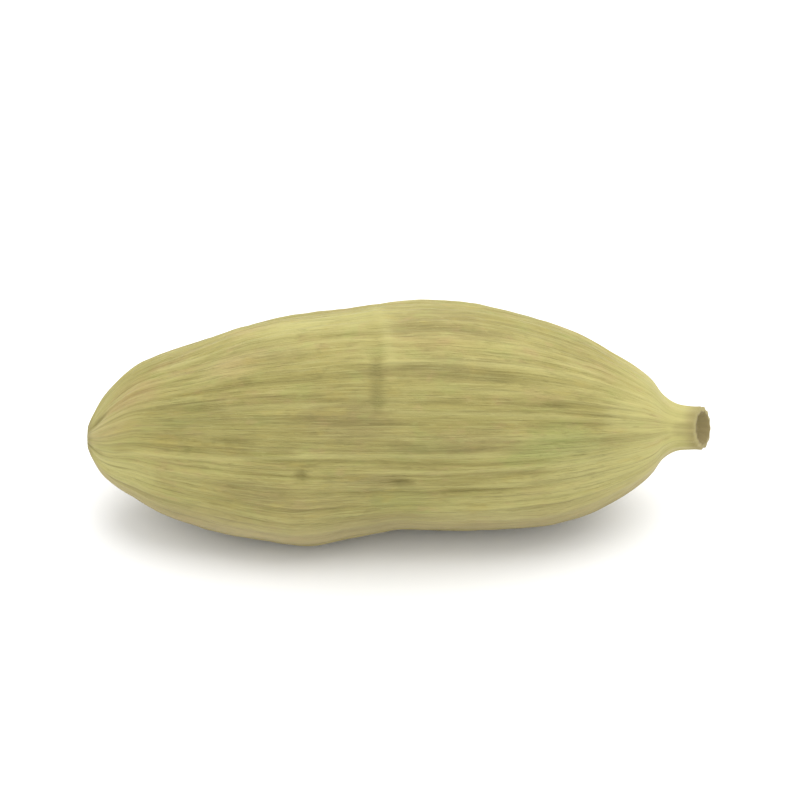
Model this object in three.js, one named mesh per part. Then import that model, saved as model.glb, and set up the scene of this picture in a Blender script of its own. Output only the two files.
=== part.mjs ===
// A whole green cardamom pod, dried. It is one fruit: a capsule with three rounded ridges and fine ribs
// from end to end, a puckered scar where the flower fell, and the stub of its stalk at the other end.
// Millimetres, +Z up. The pod lies along X with its stalk towards +X, and its near side faces -Y.
import * as THREE from "three";
import { mergeVertices } from "three/addons/utils/BufferGeometryUtils.js";

// Driving dimensions.
const BODY_LENGTH = 17.6; // from the flower scar to the root of the stalk
const HALF_THICKNESS = 3.55; // mean radius near the middle of the body
const FLAT_DEPTH = 0.2; // how far the underside is pressed flat where the pod lies
const FLAT_REACH = 0.07; // height up to which the grooves there are pressed flat too
const STALK_DROP = 0.05; // how far the end of the stalk bends down
const CUT_SLANT = 0.5; // how far the cut end of the stalk leans back, for each millimetre across it
const CUT_FACES = 36; // the way that it then faces, in degrees from the near side going up
const TIP_DROP = 0.4; // how far the flower scar sits below the middle line

// The body and its stalk as an outline. Each point is a station, the share of BODY_LENGTH from the
// scar, and a radius as a share of HALF_THICKNESS.
const OUTLINE = [
  [0.0, 0.1],
  [0.008, 0.185],
  [0.03, 0.365],
  [0.065, 0.53],
  [0.12, 0.69],
  [0.19, 0.815],
  [0.28, 0.925],
  [0.39, 0.98],
  [0.51, 1.01],
  [0.63, 1.025],
  [0.72, 0.985],
  [0.8, 0.895],
  [0.87, 0.765],
  [0.93, 0.61],
  [0.965, 0.5],
  [0.988, 0.4],
  [1.006, 0.28],
  [1.03, 0.205],
  [1.058, 0.185],
  [1.075, 0.185],
];
const RINGS_PER_STRETCH = 2; // between two points of the outline
const SCAR_FLOOR = [0.012, 0]; // the middle of the flower scar, a shallow hollow
const STALK_HOLLOW = [
  [1.077, 0.14],
  [1.061, 0.085],
  [1.061, 0],
]; // the cut end of the stalk, from its rim to its middle

// Each ridge is the back of one seed chamber, at an angle from the near side going up, in degrees.
// The seeds push it out here and there. A swell is a station, a half width along the body and a
// height as a share of the radius.
const RIDGES = [
  { angle: 75, swells: [[0.12, 0.17, -0.15], [0.57, 0.33, 0.108]] },
  { angle: -45, swells: [[0.38, 0.06, 0.05], [0.545, 0.04, -0.02], [0.63, 0.24, -0.19]] },
  { angle: 195, swells: [[0.61, 0.21, 0.2]] },
];
const RIDGE_SHARPNESS = 0.07; // 0 is round, and 0.1 makes the sides between the ridges flat
const RIDGE_FALL = 3; // power by which a swell fades to the sides of its ridge

// The ribs run from end to end and stand out from the skin.
const RIBS = 36;
const POINTS_PER_RIB = 4;
const RIB_HEIGHT = 0.07; // above and below the mean skin
const RIB_UNEVENNESS = 0.45; // how much of that height a rib may lack
const RIB_RHYTHM = 2.4; // radians from rib to rib in the wave that sets their heights
const FULL_RIB_RADIUS = 2; // mean radius below which crowding makes the ribs finer

// Stations between which the ridges rise out of the scar and sink into the stalk.
const RISE_FROM_SCAR = [0.0, 0.14];
const SINK_TO_STALK = [0.88, 1.025];

// Stations between which the middle line droops at the tip, and the stalk bends and its cut slants.
const TIP_STRETCH = [0, 0.1];
const STALK_STRETCH = [1.0, OUTLINE.at(-1)[0]];

const { smoothstep, degToRad, euclideanModulo } = THREE.MathUtils;
const TURN = 2 * Math.PI;

// 1 over the body and 0 on the stalk.
function offTheStalk(station) {
  return 1 - smoothstep(station, ...SINK_TO_STALK);
}

function swellAt(swells, station) {
  return swells.reduce(
    (sum, [middle, width, height]) => sum + height * Math.exp(-(((station - middle) / width) ** 2)),
    0,
  );
}

// How far the three ridges lift the skin, as a share of the mean radius there.
function ridgeLift(angle, station) {
  const sharpness = RIDGE_SHARPNESS * smoothstep(station, ...RISE_FROM_SCAR) * offTheStalk(station);
  const threeSided = sharpness * Math.cos(3 * (angle - degToRad(RIDGES[0].angle)));
  return RIDGES.reduce((sum, ridge) => {
    const nearness = (1 + Math.cos(angle - degToRad(ridge.angle))) / 2;
    return sum + nearness ** RIDGE_FALL * swellAt(ridge.swells, station);
  }, threeSided);
}

// How far the ribs lift the skin, in millimetres.
function ribLift(meanRadius, angle, station) {
  const rib = euclideanModulo(Math.round((angle / TURN) * RIBS), RIBS);
  const ownShare = 1 - RIB_UNEVENNESS * (0.5 + 0.5 * Math.sin(rib * RIB_RHYTHM));
  const crowding = Math.min(1, meanRadius / FULL_RIB_RADIUS);
  return RIB_HEIGHT * ownShare * crowding * offTheStalk(station) * Math.cos(RIBS * angle);
}

// The skin's distance from the pod's middle line.
function skinRadius(meanRadius, angle, station) {
  return meanRadius * (1 + ridgeLift(angle, station)) + ribLift(meanRadius, angle, station);
}

// The height of the middle line, which droops at the scar and again along the stalk.
function lineHeight(station) {
  const stalk = STALK_DROP * smoothstep(station, ...STALK_STRETCH);
  const tip = TIP_DROP * (1 - smoothstep(station, ...TIP_STRETCH));
  return -stalk - tip;
}

// How far a point near the end of the stalk moves along it, which slants the cut.
function cutShift(radius, angle, station) {
  const lean = CUT_SLANT * smoothstep(station, ...STALK_STRETCH);
  return -lean * radius * Math.cos(angle - degToRad(CUT_FACES));
}

// The profile that is turned about the middle line: up out of the scar, along the body and the stalk,
// and into the stalk's cut end.
function profile() {
  const place = ([station, share]) => new THREE.Vector2(share * HALF_THICKNESS, station * BODY_LENGTH);
  const skin = new THREE.SplineCurve(OUTLINE.map(place)).getPoints((OUTLINE.length - 1) * RINGS_PER_STRETCH);
  return [place(SCAR_FLOOR), ...skin, ...STALK_HOLLOW.map(place)];
}

// The profile turned about Y and then laid along X, with every point moved out to the skin.
function podGeometry() {
  const turned = new THREE.LatheGeometry(profile(), RIBS * POINTS_PER_RIB);
  turned.deleteAttribute("normal");
  turned.deleteAttribute("uv");
  const points = turned.getAttribute("position");
  const p = new THREE.Vector3();
  for (let i = 0; i < points.count; i++) {
    p.fromBufferAttribute(points, i);
    const station = p.y / BODY_LENGTH;
    const meanRadius = Math.hypot(p.x, p.z);
    const angle = Math.atan2(p.x, -p.z);
    const radius = meanRadius > 0 ? skinRadius(meanRadius, angle, station) : 0;
    const along = p.y + cutShift(radius, angle, station);
    points.setXYZ(i, along, -radius * Math.cos(angle), radius * Math.sin(angle) + lineHeight(station));
  }
  return mergeVertices(turned);
}

// Presses the underside flat at z = 0 and puts the origin at the middle of the footprint.
function laidDown(geometry) {
  geometry.computeBoundingBox();
  geometry.translate(0, 0, -geometry.boundingBox.min.z - FLAT_DEPTH);
  const points = geometry.getAttribute("position");
  for (let i = 0; i < points.count; i++) {
    const height = points.getZ(i);
    points.setZ(i, height < FLAT_REACH ? 0 : height);
  }
  geometry.computeBoundingBox();
  const middle = geometry.boundingBox.getCenter(new THREE.Vector3());
  return geometry.translate(-middle.x, -middle.y, 0);
}

const husk = new THREE.MeshStandardMaterial({ color: 0xa89e62, roughness: 0.8, metalness: 0 });
const pod = new THREE.Mesh(laidDown(podGeometry()), husk);
pod.name = "pod";

const cardamom = new THREE.Group();
cardamom.add(pod);

export default cardamom;
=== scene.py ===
# A dried green cardamom pod, lying on its side on a pale floor. Metres, with the pod along X, its stalk
# towards +X and its near side towards -Y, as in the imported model.
from math import atan2, ceil, cos, degrees, exp, floor, hypot, pi, radians, sin

import bmesh
import bpy
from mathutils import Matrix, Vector, noise


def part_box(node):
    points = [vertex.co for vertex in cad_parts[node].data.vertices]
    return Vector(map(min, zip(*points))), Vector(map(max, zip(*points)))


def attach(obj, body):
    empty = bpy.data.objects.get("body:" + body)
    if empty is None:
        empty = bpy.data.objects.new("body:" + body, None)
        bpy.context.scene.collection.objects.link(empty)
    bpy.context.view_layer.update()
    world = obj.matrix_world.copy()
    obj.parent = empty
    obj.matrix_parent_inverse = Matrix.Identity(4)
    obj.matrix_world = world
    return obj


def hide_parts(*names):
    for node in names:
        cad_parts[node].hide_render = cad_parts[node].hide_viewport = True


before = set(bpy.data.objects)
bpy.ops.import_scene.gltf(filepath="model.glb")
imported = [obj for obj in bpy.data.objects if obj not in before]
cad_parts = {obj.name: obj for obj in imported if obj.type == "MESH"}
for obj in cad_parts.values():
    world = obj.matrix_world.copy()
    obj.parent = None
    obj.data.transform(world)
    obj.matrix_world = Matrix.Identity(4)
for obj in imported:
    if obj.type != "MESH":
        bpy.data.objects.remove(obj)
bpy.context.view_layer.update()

POD_LOW, POD_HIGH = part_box("pod")
MM = 0.001
TURN = 2 * pi

# The pod's form, the same values as the solid's.
BODY_LENGTH = 17.6 * MM  # from the flower scar to the root of the stalk
HALF_THICKNESS = 3.55 * MM  # mean radius near the middle of the body
STALK_DROP = 0.05 * MM  # how far the end of the stalk bends down
CUT_SLANT = 0.5  # how far the cut end of the stalk leans back, for each unit across it
CUT_FACES = 36  # the way that it then faces, in degrees from the near side going up
TIP_DROP = 0.4 * MM  # how far the flower scar sits below the middle line

# Each point is a station, the share of BODY_LENGTH from the scar, and a share of HALF_THICKNESS.
OUTLINE = (
    (0.0, 0.1), (0.008, 0.185), (0.03, 0.365), (0.065, 0.53), (0.12, 0.69), (0.19, 0.815), (0.28, 0.925),
    (0.39, 0.98), (0.51, 1.01), (0.63, 1.025), (0.72, 0.985), (0.8, 0.895), (0.87, 0.765), (0.93, 0.61),
    (0.965, 0.5), (0.988, 0.4), (1.006, 0.28), (1.03, 0.205), (1.058, 0.185), (1.075, 0.185),
)
SCAR_FLOOR = (0.012, 0.0)
STALK_HOLLOW = ((1.077, 0.14), (1.061, 0.085), (1.061, 0.0))

# Angles go up from the near side, in degrees. A swell is a station, a half width and a height.
RIDGES = (
    (75, ((0.12, 0.17, -0.15), (0.57, 0.33, 0.108))),
    (-45, ((0.38, 0.06, 0.05), (0.545, 0.04, -0.02), (0.63, 0.24, -0.19))),
    (195, ((0.61, 0.21, 0.2),)),
)
RIDGE_SHARPNESS = 0.07
RIDGE_FALL = 3
RISE_FROM_SCAR = (0.0, 0.14)
SINK_TO_STALK = (0.88, 1.025)
TIP_STRETCH = (0.0, 0.1)
STALK_STRETCH = (1.0, OUTLINE[-1][0])

# The husk's ribs, and the grooves between them. Rib 0 is at RIB_TURN, and groove 0 just above it.
RIBS = 36
RIB_TURN = 2.4  # degrees
RIB_HEIGHT = 0.03 * MM
RIB_WANDER = 0.2  # how far a rib strays, as a share of the way to the next
FULL_RIB_RADIUS = 2.0 * MM  # mean radius below which crowding makes the ribs finer
GROOVE_DEPTH = 0.06 * MM
MID_GROOVE = 0.5  # its middle, as a share of the way from rib to rib
GROOVE_WIDTH = 0.15  # as a share of the same way
GROOVE_BOLDNESS = (
    0.45, 0.4, 0.6, 0.5, 0.42, 0.55, 0.25, 0.2, 0.12, 0.12, 0.15, 0.3, 0.4, 0.55, 0.35, 0.7, 0.95, 0.8,
    0.5, 0.35, 0.3, 0.2, 0.15, 0.2, 0.35, 0.5, 0.7, 0.45, 0.9, 0.6, 0.5, 0.3, 0.2, 0.3, 0.4, 0.5,
)
LEAST_BOLDNESS = 0.1
GROOVE_AT_ENDS = 0.2  # the share of its depth that a groove keeps at the pod's ends
GROOVES_RISE = (0.1, 0.3)  # stations between which the grooves deepen from the tip
GROOVES_FADE = (0.76, 0.92)  # stations between which they fade towards the stalk

# Finer relief.
FIBRES = 72  # fine ribs on the backs of the others
FIBRE_HEIGHT = 0.03 * MM
FIBRE_WANDER = 0.8  # how far a fibre strays, as a share of the way to the next
STALK_RIBS = 13
STALK_RIB_HEIGHT = 0.022 * MM
STALK_RIB_BUNCHES = 2  # places round the stalk where its ribs crowd
PUCKERS = 15  # short folds round the flower scar
PUCKER_HEIGHT = 0.05 * MM
PUCKER_STRETCH = (0.016, 0.02)  # the station of their middle, and their half length
PUCKER_BUNCHES = 3  # places round the scar where they crowd
PUCKER_CROWDING = 2  # how much they crowd there
END_FADE = (0.15 * MM, 0.65 * MM)  # mean radii over which puckers and stalk ribs come in from the line
SEED_SWELL = 0.1 * MM  # how far single seeds push out the husk
WRINKLE_HEIGHT = 0.02 * MM

# Noise that closes up round the pod: how fine it is round the pod, how fine along it, and its start.
RIB_WANDER_NOISE = (1.2, 2.4, (0.0, 0.0, 0.0))
FIBRE_WANDER_NOISE = (2.6, 4.0, (2.2, -2.2, 8.14))
SEED_NOISE = (2.4, 7.0, (1.2, -1.2, 4.44))
WRINKLE_NOISE = (9.0, 40.0, (0.6, -0.6, 2.22))

# How a rib, groove or fibre swells and fades along the pod: its mean strength, how far it swings about
# that, how fast along the pod, how far its neighbours are from it in the noise, and where they start.
RIB_SWING = (0.7, 0.6, 3.0, 2.3, 7.7)
GROOVE_SWING = (0.8, 0.9, 3.2, 3.17, 0.4)
FIBRE_SWING = (0.4, 1.2, 5.0, 1.73, 3.1)

# Raised veins: the station and the angle where one starts, the same where it ends, and its boldness.
VEINS = (
    (0.04, 11, 0.46, 22.5, 1.0), (0.34, 21, 0.78, 21.5, 0.9), (0.48, 12, 0.84, 11.5, 0.8),
    (0.2, 47, 0.5, 46, 0.7), (0.5, 42.5, 0.92, 41.5, 0.65), (0.22, 39, 0.44, 38, 0.5),
    (0.5, 52.5, 0.82, 52.5, 0.5), (0.48, 63, 0.95, 64, 0.7), (0.6, 1, 0.84, 1, 0.7),
    (0.1, 31, 0.32, 32, 0.4), (0.14, -12, 0.42, -12, 0.4), (0.2, -29, 0.62, -28, 0.5),
    (0.76, 69, 0.98, 70, 0.6), (0.2, 87, 0.44, 88, 0.5), (0.5, 91, 0.82, 92, 0.5),
    (0.3, 118, 0.92, 121, 0.6), (0.04, 139, 0.6, 142, 0.8), (0.4, 163, 0.96, 161, 0.7),
    (0.05, 188, 0.8, 191, 0.9), (0.3, 214, 0.9, 213, 0.5), (0.06, 236, 0.5, 238, 0.8),
    (0.3, 262, 0.95, 260, 0.7), (0.05, 291, 0.85, 293, 0.9), (0.2, 308, 0.7, 309, 0.5),
)
VEIN_HEIGHT = 0.035 * MM
VEIN_WIDTH = 0.09 * MM
VEIN_RISE = 0.06  # stations over which a vein comes up at its start
VEIN_FALL = 0.12  # stations over which it sinks at its end

# Small dents: a station, an angle, a half length along the pod, a half width round it, and a depth.
DENTS = (
    (0.255, 27.5, 0.6 * MM, 0.12 * MM, 0.07 * MM),
    (0.379, 9.5, 0.18 * MM, 0.28 * MM, 0.12 * MM),
    (0.549, 4, 0.4 * MM, 0.14 * MM, 0.12 * MM),
    (0.812, 48, 0.45 * MM, 0.13 * MM, 0.08 * MM),
    (0.7, 58.5, 0.9 * MM, 0.12 * MM, 0.03 * MM),
    (0.17, 36, 0.6 * MM, 0.12 * MM, 0.05 * MM),
    (0.024, 66, 0.3 * MM, 0.12 * MM, 0.12 * MM),
    (0.575, 80.5, 0.8 * MM, 0.16 * MM, 0.05 * MM),
    (0.67, 78.5, 0.9 * MM, 0.14 * MM, 0.03 * MM),
    (0.86, 82, 0.5 * MM, 0.2 * MM, 0.04 * MM),
    (0.51, -17, 0.5 * MM, 0.2 * MM, 0.05 * MM),
    (0.33, 148, 0.5 * MM, 0.2 * MM, 0.07 * MM),
    (0.72, 176, 0.2 * MM, 0.4 * MM, 0.07 * MM),
    (0.47, 205, 0.45 * MM, 0.15 * MM, 0.06 * MM),
    (0.2, 250, 0.35 * MM, 0.2 * MM, 0.07 * MM),
    (0.68, 268, 0.6 * MM, 0.25 * MM, 0.07 * MM),
)
DENT_REACH = 3  # half widths from its middle, past which a dent is flat
# Depth at which a dent's painted shade is full.
FULLY_SHADED_DENT = 0.13 * MM

# The pinch across the near face, and the fold above it: a station, a half width along the pod, the angles
# between which it runs, how far it lifts the skin, and how far its station moves for each degree.
PINCH = (0.508, 0.012, 47, 62, -0.09 * MM, 0.0)
FOLD_HEIGHT = 0.04 * MM
FOLD = (0.528, 0.013, 66, 98, FOLD_HEIGHT, -0.0007)
# Depth at which the pinch's painted shade is full.
FULLY_SHADED_PINCH = 0.11 * MM
FOLD_PALENESS = 0.65  # the fold's paleness, partly a painted highlight on its raised crest, as a share of a bold vein's
CREASE_FADE = 8  # degrees over which a crease fades past its ends
CREASE_WANDER = 0.008  # how far its station strays
CREASE_WAVE = 12  # degrees from one stray to the next
CREASE_NOISE_START = 0.3
CREASES_APART = 50  # how far apart in the noise two creases are, for each station between them

# The mesh.
POINTS_PER_RIB = 14
COLUMNS = RIBS * POINTS_PER_RIB  # points round the pod
RING_STEP = 0.13 * MM  # between rings on the body
FINE_RING_STEP = 0.065 * MM  # between rings at the scar and on the stalk
FINE_BELOW = 1.0 * MM  # mean radius below which the rings are fine
SCAR_RINGS = (0, 0.4, 0.75)  # rings inside the scar, as shares of the way out of it
CURVE_STEPS = 80  # between two points of the outline, before the rings are chosen
MERGE_DISTANCE = 0.0001 * MM
ON_THE_LINE = 0.001 * MM  # a point nearer the middle line than this is on it
CUT_STARTS = 1.05  # station past which the narrow rings are the stalk's cut end


def smoothstep(value, low, high):
    share = min(1.0, max(0.0, (value - low) / (high - low)))
    return share * share * (3 - 2 * share)


def hump(value, middle, width):
    """1 at the middle, and falling away smoothly over the width."""
    return exp(-(((value - middle) / width) ** 2))


def degrees_apart(angle, other):
    """How far apart two directions round the pod are, from -180 to 180 degrees."""
    return (angle / TURN * 360 - other + 180) % 360 - 180


def outline_curve(points, steps):
    """A smooth curve through the points, as a list with that many steps between two of them."""
    curve = []
    last = len(points) - 1
    for i in range(last):
        before, start, end, after = (Vector(points[min(last, max(0, k))]) for k in range(i - 1, i + 3))
        for step in range(steps):
            t = step / steps
            leave = (end - before) / 2
            arrive = (after - start) / 2
            bend = (2 * start - 2 * end + leave + arrive) * t**3
            bend += (3 * end - 3 * start - 2 * leave - arrive) * t**2
            curve.append(bend + leave * t + start)
    curve.append(Vector(points[last]))
    return curve


def ring_places():
    """The profile's points: up out of the scar, along the body and the stalk, and into its cut end."""
    dense = [Vector((s * BODY_LENGTH, r * HALF_THICKNESS)) for s, r in outline_curve(OUTLINE, CURVE_STEPS)]
    places = [dense[0]]
    for point in dense[1:]:
        step = RING_STEP if point.y > FINE_BELOW else FINE_RING_STEP
        if (point - places[-1]).length >= step:
            places.append(point)
    hollow = [Vector((s * BODY_LENGTH, r * HALF_THICKNESS)) for s, r in (OUTLINE[-1],) + STALK_HOLLOW]
    scar = Vector((SCAR_FLOOR[0] * BODY_LENGTH, 0))
    into_scar = [scar.lerp(dense[0], share) for share in SCAR_RINGS]
    into_stalk = []
    for start, end in zip(hollow, hollow[1:]):
        count = max(1, ceil((end - start).length / FINE_RING_STEP))
        into_stalk += [start.lerp(end, (k + 1) / count) for k in range(count)]
    return into_scar + places + into_stalk


def husk_noise(angle, station, setting):
    """Noise over the husk, from about -1 to 1."""
    round_it, along_it, (x, y, z) = setting
    return noise.noise(Vector((cos(angle) * round_it + x, sin(angle) * round_it + y, station * along_it + z)))


def strength_of(number, station, swing):
    """How strong one rib, groove or fibre is at a station."""
    mean, reach, pace, apart, start = swing
    return mean + reach * noise.noise(Vector((number * apart, start, station * pace)))


def off_the_stalk(station):
    return 1 - smoothstep(station, *SINK_TO_STALK)


def ridge_lift(angle, station):
    """How far the three ridges lift the skin, as a share of the mean radius."""
    sharpness = RIDGE_SHARPNESS * smoothstep(station, *RISE_FROM_SCAR) * off_the_stalk(station)
    lift = sharpness * cos(len(RIDGES) * (angle - radians(RIDGES[0][0])))
    for middle, swells in RIDGES:
        nearness = (1 + cos(angle - radians(middle))) / 2
        lift += nearness**RIDGE_FALL * sum(h * hump(station, s, w) for s, w, h in swells)
    return lift


def rib_lift(angle, station):
    """(lift of the skin, how deep in a groove from 0 to 1) from the ribs and the grooves between them."""
    place = (degrees(angle) - RIB_TURN) / 360 * RIBS
    place += RIB_WANDER * husk_noise(angle, station, RIB_WANDER_NOISE)
    groove = floor(place) % RIBS
    boldness = strength_of(groove, station, GROOVE_SWING) * GROOVE_BOLDNESS[groove]
    from_tip = GROOVE_AT_ENDS + (1 - GROOVE_AT_ENDS) * smoothstep(station, *GROOVES_RISE)
    to_stalk = 1 - (1 - GROOVE_AT_ENDS) * smoothstep(station, *GROOVES_FADE)
    depth = hump(place - floor(place), MID_GROOVE, GROOVE_WIDTH)
    depth *= min(1.0, max(LEAST_BOLDNESS, boldness)) * from_tip * to_stalk
    height = strength_of(round(place) % RIBS, station, RIB_SWING) * RIB_HEIGHT
    return height * cos(TURN * place) - depth * GROOVE_DEPTH, depth


def fibre_lift(angle, station):
    """How far the fine ribs lift the skin. Each comes and goes along the pod."""
    place = angle / TURN * FIBRES + FIBRE_WANDER * husk_noise(angle, station, FIBRE_WANDER_NOISE)
    strength = max(0.0, strength_of(round(place) % FIBRES, station, FIBRE_SWING))
    return FIBRE_HEIGHT * strength * cos(TURN * place)


def vein_share(angle, station, mean_radius):
    """0 off the veins, and up to 1 on one."""
    share = 0.0
    for start, start_angle, end, end_angle, boldness in VEINS:
        if start < station < end:
            middle = start_angle + (end_angle - start_angle) * (station - start) / (end - start)
            across = radians(degrees_apart(angle, middle)) * mean_radius / VEIN_WIDTH
            rise = smoothstep(station, start, start + VEIN_RISE)
            fall = smoothstep(station, end - VEIN_FALL, end)
            share += boldness * rise * (1 - fall) * exp(-(across**2))
    return share


def dent_depth(angle, station, mean_radius):
    depth = 0.0
    for middle, round_angle, half_length, half_width, deepest in DENTS:
        along = (station - middle) * BODY_LENGTH / half_length
        across = radians(degrees_apart(angle, round_angle)) * mean_radius / half_width
        if along**2 + across**2 < DENT_REACH**2:
            depth += deepest * exp(-(along**2) - across**2)
    return depth


def crease_lift(crease, angle, station):
    """How far the pinch or the fold lifts the skin."""
    middle, width, start, end, lift, slant = crease
    turned = degrees_apart(angle, 0)
    run = smoothstep(turned, start - CREASE_FADE, start) * (1 - smoothstep(turned, end, end + CREASE_FADE))
    wander = noise.noise(Vector((turned / CREASE_WAVE, middle * CREASES_APART, CREASE_NOISE_START)))
    lean = slant * (turned - start) + CREASE_WANDER * wander
    return lift * run * hump(station, middle + lean, width)


def pucker_lift(angle, station):
    """How far the puckers round the flower scar lift the skin."""
    crowding = PUCKER_CROWDING * sin(PUCKER_BUNCHES * angle)
    return PUCKER_HEIGHT * hump(station, *PUCKER_STRETCH) * cos(PUCKERS * angle + crowding)


def stalk_rib_lift(angle, station):
    crowding = sin(STALK_RIB_BUNCHES * angle)
    return (1 - off_the_stalk(station)) * STALK_RIB_HEIGHT * cos(STALK_RIBS * angle + crowding)


def skin(angle, station, mean_radius):
    """(distance from the middle line, painted shade for a groove, dent or the pinch, paleness of a vein or
    the fold) on the skin.
    """
    body = off_the_stalk(station)
    fullness = min(1.0, mean_radius / FULL_RIB_RADIUS) * body
    rib, groove = rib_lift(angle, station)
    vein = vein_share(angle, station, mean_radius) * body
    dent = dent_depth(angle, station, mean_radius)
    pinch = crease_lift(PINCH, angle, station)
    fold = crease_lift(FOLD, angle, station)
    seeds = SEED_SWELL * husk_noise(angle, station, SEED_NOISE)
    wrinkles = WRINKLE_HEIGHT * husk_noise(angle, station, WRINKLE_NOISE)
    ends = (pucker_lift(angle, station) + stalk_rib_lift(angle, station)) * smoothstep(mean_radius, *END_FADE)
    radius = mean_radius * (1 + ridge_lift(angle, station))
    radius += fullness * (rib + fibre_lift(angle, station) + seeds + wrinkles)
    radius += vein * VEIN_HEIGHT - dent + pinch + fold + ends
    # Painted shade deepens with the depth of a groove, a dent or the pinch.
    painted_shade = groove * fullness + dent / FULLY_SHADED_DENT - pinch / FULLY_SHADED_PINCH
    # The veins' and the fold's paleness is partly their own colour and partly a painted highlight on their
    # raised crests.
    return radius, min(1.0, painted_shade), min(1.0, vein + FOLD_PALENESS * fold / FOLD_HEIGHT)


def line_height(station):
    """The height of the middle line, which droops at the scar and again along the stalk."""
    stalk = STALK_DROP * smoothstep(station, *STALK_STRETCH)
    tip = TIP_DROP * (1 - smoothstep(station, *TIP_STRETCH))
    return -stalk - tip


def cut_shift(radius, angle, station):
    """How far a point near the end of the stalk moves along it, which slants the cut."""
    return -CUT_SLANT * smoothstep(station, *STALK_STRETCH) * radius * cos(angle - radians(CUT_FACES))


def sort_faces(shape):
    """Gives the faces the same order each run, because the spin leaves them in a different one."""
    shape.verts.index_update()
    count = len(shape.verts)

    def rank(face):
        first, second, third = sorted(point.index for point in face.verts)[:3]
        return (first * count + second) * count + third

    shape.faces.sort(key=rank)


def turned_profile():
    """The pod's profile turned about the X axis, as a closed mesh."""
    shape = bmesh.new()
    line = [shape.verts.new((place.x, 0, -place.y)) for place in ring_places()]
    edges = [shape.edges.new(pair) for pair in zip(line, line[1:])]
    bmesh.ops.spin(
        shape, geom=line + edges, cent=(0, 0, 0), axis=(1, 0, 0), angle=TURN, steps=COLUMNS, use_merge=True
    )
    bmesh.ops.remove_doubles(shape, verts=shape.verts[:], dist=MERGE_DISTANCE)
    bmesh.ops.recalc_face_normals(shape, faces=shape.faces[:])
    sort_faces(shape)
    return shape


def lift_skin(shape):
    """Moves every point out to the skin, and notes its place, its painted shade, its veins and fold (pale,
    partly a painted highlight) and its cut end for the husk's colours.
    """
    shade_and_marks = {name: shape.verts.layers.float.new(name) for name in ("groove", "vein", "cut")}
    grain_layer = shape.verts.layers.float_vector.new("grain")
    hollow_radius = STALK_HOLLOW[0][1] * HALF_THICKNESS
    for point in shape.verts:
        x, y, z = point.co
        station = x / BODY_LENGTH
        mean_radius = hypot(y, z)
        angle = atan2(z, -y)
        off_line = mean_radius > ON_THE_LINE
        radius, groove, vein = skin(angle, station, mean_radius) if off_line else (0.0, 0.0, 0.0)
        along = x + cut_shift(radius, angle, station)
        point.co = (along, -radius * cos(angle), radius * sin(angle) + line_height(station))
        point[shade_and_marks["groove"]] = groove
        point[shade_and_marks["vein"]] = vein
        point[shade_and_marks["cut"]] = float(station > CUT_STARTS and mean_radius < hollow_radius)
        point[grain_layer] = (cos(angle), sin(angle), station)


def lay_down(shape):
    """Sets the pod where the solid lies, with its underside pressed flat on the floor."""
    low = Vector([min(point.co[axis] for point in shape.verts) for axis in range(3)])
    high = Vector([max(point.co[axis] for point in shape.verts) for axis in range(3)])
    middle = (low + high) / 2
    solid_middle = (POD_LOW + POD_HIGH) / 2
    move = Vector((POD_LOW.x - low.x, solid_middle.y - middle.y, POD_HIGH.z - high.z))
    bmesh.ops.translate(shape, vec=move, verts=shape.verts[:])
    for point in shape.verts:
        point.co.z = max(0.0, point.co.z)


class Wire:
    """An output of a material's node. Sums, differences and products add the nodes that work them out."""

    def __init__(self, finish, socket):
        self.finish = finish
        self.socket = socket

    def maths(self, operation, *values):
        inputs = {place: value for place, value in enumerate(values)}
        return self.finish.node("ShaderNodeMath", {"operation": operation}, inputs)

    def __add__(self, other):
        return self.maths("ADD", self, other)

    def __radd__(self, other):
        return self.maths("ADD", other, self)

    def __sub__(self, other):
        return self.maths("SUBTRACT", self, other)

    def __rsub__(self, other):
        return self.maths("SUBTRACT", other, self)

    def __mul__(self, other):
        return self.maths("MULTIPLY", self, other)

    def __rmul__(self, other):
        return self.maths("MULTIPLY", other, self)

    def between(self, start, full):
        """0 at start and 1 at full, which may be the lower one, rising smoothly and flat past them."""
        if start > full:
            return 1 - self.between(full, start)
        inputs = {"Value": self, "From Min": start, "From Max": full}
        return self.finish.node("ShaderNodeMapRange", {"interpolation_type": "SMOOTHSTEP"}, inputs)


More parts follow.
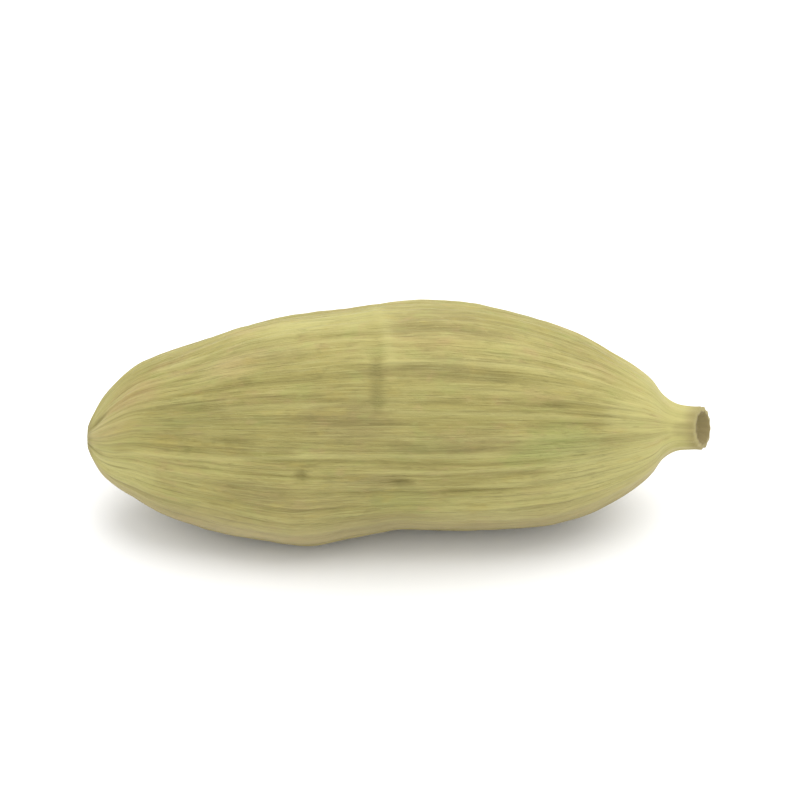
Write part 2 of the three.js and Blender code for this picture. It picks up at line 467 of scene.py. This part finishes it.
class Finish:
    """A procedural material."""

    def __init__(self, name):
        self.material = bpy.data.materials.new(name)
        self.material.use_nodes = True
        self.tree = self.material.node_tree
        self.tree.nodes.clear()

    def node(self, kind, settings=None, inputs=None, output=0):
        """Adds a node, with its settings made before its inputs, and returns one of its outputs."""
        made = self.tree.nodes.new(kind)
        for name, value in (settings or {}).items():
            setattr(made, name, value)
        for name, value in (inputs or {}).items():
            if isinstance(value, Wire):
                self.tree.links.new(value.socket, made.inputs[name])
            else:
                made.inputs[name].default_value = value
        return Wire(self, made.outputs[output])

    def attribute(self, name, output="Fac"):
        return self.node("ShaderNodeAttribute", {"attribute_name": name}, output=output)

    def vector_maths(self, operation, first, second=None, output=0):
        inputs = {0: first} if second is None else {0: first, 1: second}
        return self.node("ShaderNodeVectorMath", {"operation": operation}, inputs, output)

    def stretched(self, vector, across, along):
        """The grain's place, scaled across the fibres and along them."""
        return self.vector_maths("MULTIPLY", vector, (across, across, along))

    def pattern(self, vector, across, along, detail, roughness):
        """Noise that is so fine across the fibres and along them."""
        place = self.stretched(vector, across, along)
        inputs = {"Vector": place, "Scale": 1.0, "Detail": detail, "Roughness": roughness}
        return self.node("ShaderNodeTexNoise", {}, inputs)

    def blend(self, mask, under, over):
        """The colour under, covered by the colour over where the mask is 1."""
        # A Mix node's colours are its inputs 6 and 7 and its output 2.
        return self.node("ShaderNodeMix", {"data_type": "RGBA"}, {0: mask, 6: under, 7: over}, output=2)

    def bump(self, height, distance, strength, normal=None):
        inputs = {"Height": height, "Distance": distance, "Strength": strength}
        if normal:
            inputs["Normal"] = normal
        return self.node("ShaderNodeBump", {}, inputs)

    def shade(self, **inputs):
        """Ends the material in a Principled shader. Spaces in its sockets' names are written _ here."""
        named = {name.replace("_", " "): value for name, value in inputs.items()}
        surface = self.node("ShaderNodeBsdfPrincipled", {}, named)
        end = self.tree.nodes.new("ShaderNodeOutputMaterial")
        self.tree.links.new(surface.socket, end.inputs["Surface"])
        return self.material


def paint(red, green, blue):
    """A colour from its screen values, 0 to 255."""
    screen = (value / 255 for value in (red, green, blue))
    return (*(((v + 0.055) / 1.055) ** 2.4 if v > 0.04045 else v / 12.92 for v in screen), 1.0)


STRAW = paint(164, 154, 90)
OLIVE = paint(149, 139, 76)
GREEN = paint(141, 143, 74)
LEAF = paint(150, 156, 84)
GOLD = paint(166, 150, 78)
TAN = paint(168, 142, 95)
DUN = paint(138, 124, 76)
PALE = paint(177, 170, 106)
# A dark olive for the husk's own bands, streaks and specks, also used as painted shade in the grooves, dents
# and pinch and along the lowest edge.
STREAK_AND_SHADE_OLIVE = paint(108, 100, 47)
# Painted reflected light from the white floor, greyer and bluer, for the underside.
PAINTED_FLOOR_LIGHT_GREY = paint(165, 151, 113)
BROWN = paint(112, 98, 54)
CUT_OLIVE = paint(128, 113, 70)

# The husk's patterns, each a noise: how fine across the fibres and along them, its detail and roughness.
PATTERNS = {
    "broad": (2.2, 5.0, 3, 0.5),
    "blotch": (4.42, 15.6, 4, 0.5),
    "mottle": (6.0, 16.0, 3, 0.6),
    "fleck": (9.0, 28.0, 2, 0.6),
    "speck": (17.0, 30.0, 3, 0.65),
    "bands": (11.5, 3.0, 3, 0.6),
    "streaks": (30.0, 5.0, 4, 0.6),
    "threads": (95.0, 14.0, 3, 0.6),
    "cross": (14.0, 130.0, 3, 0.6),
}

# The husk's colours, from the lowest layer up, with the patches between the first two lists. Each has a
# pattern or a mark, the value of it where the colour starts to show, the value where it is full, the
# colour and its strength. "height" runs from -1 underneath to 1 on top, and "station" along the pod.
BASE_COLOUR = OLIVE
BROAD_LAYERS = (
    ("broad", 0.36, 0.64, STRAW, 1.0),
    ("blotch", 0.56, 0.72, TAN, 0.4),
    ("blotch", 0.46, 0.3, GREEN, 0.35),
    ("station", 0.86, 0.98, PALE, 0.5),
    ("station", 0.13, 0.01, PALE, 0.35),
)
MOTTLED_LAYERS = (
    ("mottle", 0.54, 0.7, GOLD, 0.4),
    ("mottle", 0.46, 0.3, LEAF, 0.3),
    ("fleck", 0.58, 0.74, TAN, 0.35),
)
BAND_LAYERS = (
    ("bands", 0.5, 0.32, STREAK_AND_SHADE_OLIVE, 0.36),
    ("bands", 0.54, 0.7, PALE, 0.32),
)
DETAIL_LAYERS = (
    ("streaks", 0.5, 0.3, STREAK_AND_SHADE_OLIVE, 0.35),
    ("streaks", 0.52, 0.72, PALE, 0.35),
    ("speck", 0.45, 0.28, STREAK_AND_SHADE_OLIVE, 0.3),
    ("speck", 0.57, 0.74, PALE, 0.35),
    ("threads", 0.5, 0.7, PALE, 0.42),
    ("threads", 0.47, 0.32, STREAK_AND_SHADE_OLIVE, 0.3),
    # Pale veins and fold: partly their own colour, partly a painted highlight on their raised crests.
    ("vein", 0.0, 1.0, PALE, 0.5),
    # Painted shade in the grooves, dents and pinch, from the groove mark.
    ("groove", 0.05, 0.9, STREAK_AND_SHADE_OLIVE, 0.45),
    # Painted reflected floor light on the underside.
    ("height", -0.2, -0.65, PAINTED_FLOOR_LIGHT_GREY, 0.6),
    # Painted shade along the lowest edge, next to the floor.
    ("height", -0.62, -0.82, STREAK_AND_SHADE_OLIVE, 0.6),
    ("station", 0.99, 1.03, PALE, 0.35),
    ("station", 1.045, 1.076, CUT_OLIVE, 0.6),
    ("station", 0.014, 0.0, BROWN, 0.5),
)
TOP_OF_RIDGE = (0.84, 0.96)  # heights between which the bands grow fainter
BANDS_LOST_ON_TOP = 0.4  # the share of their strength that they lose there
CUT_BROWN = 0.8  # strength of the brown in the stalk's cut end

# Relief too fine for the mesh: how far its pattern lifts the skin, and its strength.
THREAD_RELIEF = (0.045 * MM, 1.0)
STREAK_RELIEF = (0.05 * MM, 0.6)
CROSS_RELIEF = (0.015 * MM, 0.6)
FIBRES_WIDEN = (0.0, 0.2)  # stations between which fibres widen from the tip
FIBRES_NARROW = (0.85, 1.02)  # stations between which they narrow to the stalk
LEAST_FIBRE_WIDTH = 0.15  # as a share of their width on the body

# Streaks also change how rough the husk is.
SMOOTHEST = 0.6
ROUGHEST = 0.75
STREAK_VALUES = (0.2, 0.8)

# Where the husk differs in colour: a station, an angle, a half length along the pod and a half width
# round it, the colour and its strength.
PATCHES = (
    (0.08, 66, 1.0 * MM, 0.9 * MM, TAN, 0.6),
    (0.04, 40, 0.8 * MM, 0.8 * MM, TAN, 0.35),
    (0.08, -6, 1.1 * MM, 1.0 * MM, PALE, 0.95),
    (0.255, 71, 1.1 * MM, 0.6 * MM, PALE, 0.5),
    (0.258, 69, 0.8 * MM, 0.5 * MM, TAN, 0.5),
    (0.16, 40, 1.1 * MM, 0.5 * MM, LEAF, 0.15),
    (0.6, 76, 1.3 * MM, 0.5 * MM, TAN, 0.35),
    (0.61, 88, 1.4 * MM, 0.5 * MM, DUN, 0.6),
    (0.575, 81, 0.9 * MM, 0.2 * MM, DUN, 0.6),
    (0.62, 86, 1.1 * MM, 0.28 * MM, DUN, 0.6),
    (0.615, 84, 1.3 * MM, 0.5 * MM, OLIVE, 0.55),
    (0.68, 78.5, 1.1 * MM, 0.18 * MM, DUN, 0.4),
    (0.33, 73, 1.0 * MM, 0.3 * MM, DUN, 0.45),
    (0.386, 88, 2.4 * MM, 0.6 * MM, PALE, 0.7),
    (0.16, 82, 0.9 * MM, 0.4 * MM, PALE, 0.7),
    (0.42, 58, 3.2 * MM, 0.5 * MM, OLIVE, 0.65),
    (0.66, 58, 3.0 * MM, 0.6 * MM, OLIVE, 0.85),
    (0.62, 62, 1.8 * MM, 0.45 * MM, DUN, 0.3),
    (0.46, 40, 1.7 * MM, 0.7 * MM, DUN, 0.6),
    (0.63, 42, 1.4 * MM, 0.6 * MM, OLIVE, 0.8),
    (0.3, -3, 1.2 * MM, 0.5 * MM, DUN, 0.45),
    (0.81, 25, 1.4 * MM, 0.8 * MM, LEAF, 0.75),
    (0.66, 28, 2.0 * MM, 0.4 * MM, DUN, 0.55),
    (0.5, 4, 1.3 * MM, 0.45 * MM, DUN, 0.6),
    (0.88, 2, 1.8 * MM, 1.35 * MM, PALE, 0.9),
    (0.38, -9, 1.6 * MM, 0.6 * MM, DUN, 0.4),
    (0.55, -10, 0.9 * MM, 0.6 * MM, GREEN, 0.5),
    # Painted reflected floor light on the lower near side.
    (0.3, -38, 2.6 * MM, 0.5 * MM, PAINTED_FLOOR_LIGHT_GREY, 0.6),
    (0.86, 68, 0.7 * MM, 0.35 * MM, PALE, 0.55),
    (0.93, 42, 0.7 * MM, 0.7 * MM, PALE, 0.7),
    (0.77, -5, 1.7 * MM, 0.9 * MM, PALE, 0.45),
    (0.69, -22, 1.8 * MM, 0.7 * MM, PALE, 0.65),
    (0.18, -2, 1.2 * MM, 0.7 * MM, PALE, 0.25),
    (1.045, 32, 0.35 * MM, 1.3 * MM, DUN, 0.6),
    (0.35, 150, 2.4 * MM, 0.9 * MM, TAN, 0.5),
    (0.75, 185, 2.0 * MM, 1.0 * MM, GREEN, 0.6),
    (0.2, 215, 1.4 * MM, 0.8 * MM, PALE, 0.6),
    (0.6, 240, 1.8 * MM, 0.8 * MM, DUN, 0.5),
    (0.42, 285, 2.0 * MM, 0.7 * MM, TAN, 0.5),
)
PATCH_EDGE = (1.4, 0.3)  # half widths from its middle, where a patch starts to show and where it is full
PATCH_UNEVENNESS = 1.6  # how far its edge strays, in half widths, for a full swing of the blotches


def husk_patch(finish, grain, wobble, station, angle, half_length, half_width):
    """A mask with a soft, uneven edge round one place on the husk."""
    middle = (cos(radians(angle)), sin(radians(angle)), station)
    offset = finish.vector_maths("SUBTRACT", grain, middle)
    scaled = finish.stretched(offset, HALF_THICKNESS / half_width, BODY_LENGTH / half_length)
    distance = finish.vector_maths("LENGTH", scaled, output="Value")
    return (distance + wobble).between(*PATCH_EDGE)


def lay_on(finish, colour, wires, layers, share=1.0):
    """Covers a colour with those of a list of layers. The share weakens them all."""
    for name, start, full, tint, strength in layers:
        colour = finish.blend(wires[name].between(start, full) * (strength * share), colour, tint)
    return colour


def husk_colour(finish, grain, wires):
    """Straw to olive, streaked along its fibres, pale on its veins and fold (partly a painted highlight),
    with painted shade in its grooves, dents and pinch and along its lowest edge, and painted floor light
    underneath.
    """
    colour = lay_on(finish, BASE_COLOUR, wires, BROAD_LAYERS)
    wobble = (wires["blotch"] - 0.5) * PATCH_UNEVENNESS
    for *place_and_size, tint, strength in PATCHES:
        colour = finish.blend(husk_patch(finish, grain, wobble, *place_and_size) * strength, colour, tint)
    colour = lay_on(finish, colour, wires, MOTTLED_LAYERS)
    bands_left = 1 - wires["height"].between(*TOP_OF_RIDGE) * BANDS_LOST_ON_TOP
    colour = lay_on(finish, colour, wires, BAND_LAYERS, bands_left)
    colour = lay_on(finish, colour, wires, DETAIL_LAYERS)
    return finish.blend(wires["cut"] * CUT_BROWN, colour, BROWN)


def husk_relief(finish, wires):
    """The finest fibres, which narrow with the pod towards its ends."""
    station = wires["station"]
    width = station.between(*FIBRES_WIDEN) * (1 - station.between(*FIBRES_NARROW))
    width = LEAST_FIBRE_WIDTH + width * (1 - LEAST_FIBRE_WIDTH)
    normal = finish.bump(wires["threads"] * width, *THREAD_RELIEF)
    normal = finish.bump(wires["streaks"] * width, *STREAK_RELIEF, normal)
    return finish.bump(wires["cross"], *CROSS_RELIEF, normal)


def husk_finish():
    """The papery husk."""
    finish = Finish("husk")
    grain = finish.attribute("grain", output="Vector")
    wires = {name: finish.pattern(grain, *setting) for name, setting in PATTERNS.items()}
    wires.update({name: finish.attribute(name) for name in ("groove", "vein", "cut")})
    wires["height"] = finish.node("ShaderNodeSeparateXYZ", {}, {0: grain}, output="Y")
    wires["station"] = finish.node("ShaderNodeSeparateXYZ", {}, {0: grain}, output="Z")
    return finish.shade(
        Base_Color=husk_colour(finish, grain, wires),
        Roughness=wires["streaks"].between(*STREAK_VALUES) * (ROUGHEST - SMOOTHEST) + SMOOTHEST,
        Normal=husk_relief(finish, wires),
    )


def make_pod():
    shape = turned_profile()
    lift_skin(shape)
    lay_down(shape)
    for face in shape.faces:
        face.smooth = True
    mesh = bpy.data.meshes.new("cardamom_husk")
    shape.to_mesh(mesh)
    shape.free()
    pod = bpy.data.objects.new("cardamom_husk", mesh)
    bpy.context.collection.objects.link(pod)
    mesh.materials.append(husk_finish())
    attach(pod, "root")
    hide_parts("pod")


# The studio. Places are measured from the middle of the pod.
FLOOR_REACH = 0.6
FLOOR_PAINT = (0.9, 0.9, 0.9, 1.0)
FLOOR_ROUGHNESS = 0.9
LIGHT_PLACE = Vector((0.08, 0.08, 0.29))
LIGHT_WIDTH = 0.5
LIGHT_POWER = 0.9  # watts
SKY_PAINT = (1.0, 1.0, 1.0, 1.0)
SKY_STRENGTH = 1.2
CAMERA_ELEVATION = radians(36)
LENS = 150  # millimetres, as is the sensor
SENSOR = 36
POD_IN_VIEW = 0.78  # the pod's length as a share of the view's width
NEAREST_SEEN = 0.001
FARTHEST_SEEN = 5


def make_floor():
    shape = bmesh.new()
    bmesh.ops.create_grid(shape, x_segments=1, y_segments=1, size=FLOOR_REACH)
    mesh = bpy.data.meshes.new("floor")
    shape.to_mesh(mesh)
    shape.free()
    ground = bpy.data.objects.new("floor", mesh)
    bpy.context.collection.objects.link(ground)
    mesh.materials.append(Finish("floor").shade(Base_Color=FLOOR_PAINT, Roughness=FLOOR_ROUGHNESS))


def aimed(place, target):
    """A turn that points an object at a place towards a target."""
    return (target - place).to_track_quat("-Z", "Y").to_euler()


def make_studio(target):
    """A wide, soft light above the pod, under an even white sky."""
    lamp = bpy.data.lights.new("overhead", "AREA")
    lamp.shape = "DISK"
    lamp.size = LIGHT_WIDTH
    lamp.energy = LIGHT_POWER
    light = bpy.data.objects.new("overhead", lamp)
    light.location = target + LIGHT_PLACE
    light.rotation_euler = aimed(light.location, target)
    bpy.context.collection.objects.link(light)
    sky = bpy.data.worlds.new("studio")
    sky.use_nodes = True
    sky.node_tree.nodes["Background"].inputs["Color"].default_value = SKY_PAINT
    sky.node_tree.nodes["Background"].inputs["Strength"].default_value = SKY_STRENGTH
    bpy.context.scene.world = sky
    bpy.context.scene.view_settings.view_transform = "Standard"


def make_camera(target):
    """A long lens that looks down on the pod from its near side."""
    lens = bpy.data.cameras.new("camera")
    lens.lens = LENS
    lens.sensor_width = SENSOR
    lens.clip_start = NEAREST_SEEN
    lens.clip_end = FARTHEST_SEEN
    width_seen = (POD_HIGH.x - POD_LOW.x) / POD_IN_VIEW
    distance = width_seen * LENS / SENSOR
    camera = bpy.data.objects.new("camera", lens)
    camera.location = target + distance * Vector((0, -cos(CAMERA_ELEVATION), sin(CAMERA_ELEVATION)))
    camera.rotation_euler = aimed(camera.location, target)
    bpy.context.collection.objects.link(camera)
    bpy.context.scene.camera = camera


middle_of_pod = (POD_LOW + POD_HIGH) / 2
make_camera(middle_of_pod)
make_studio(middle_of_pod)
make_floor()
make_pod()
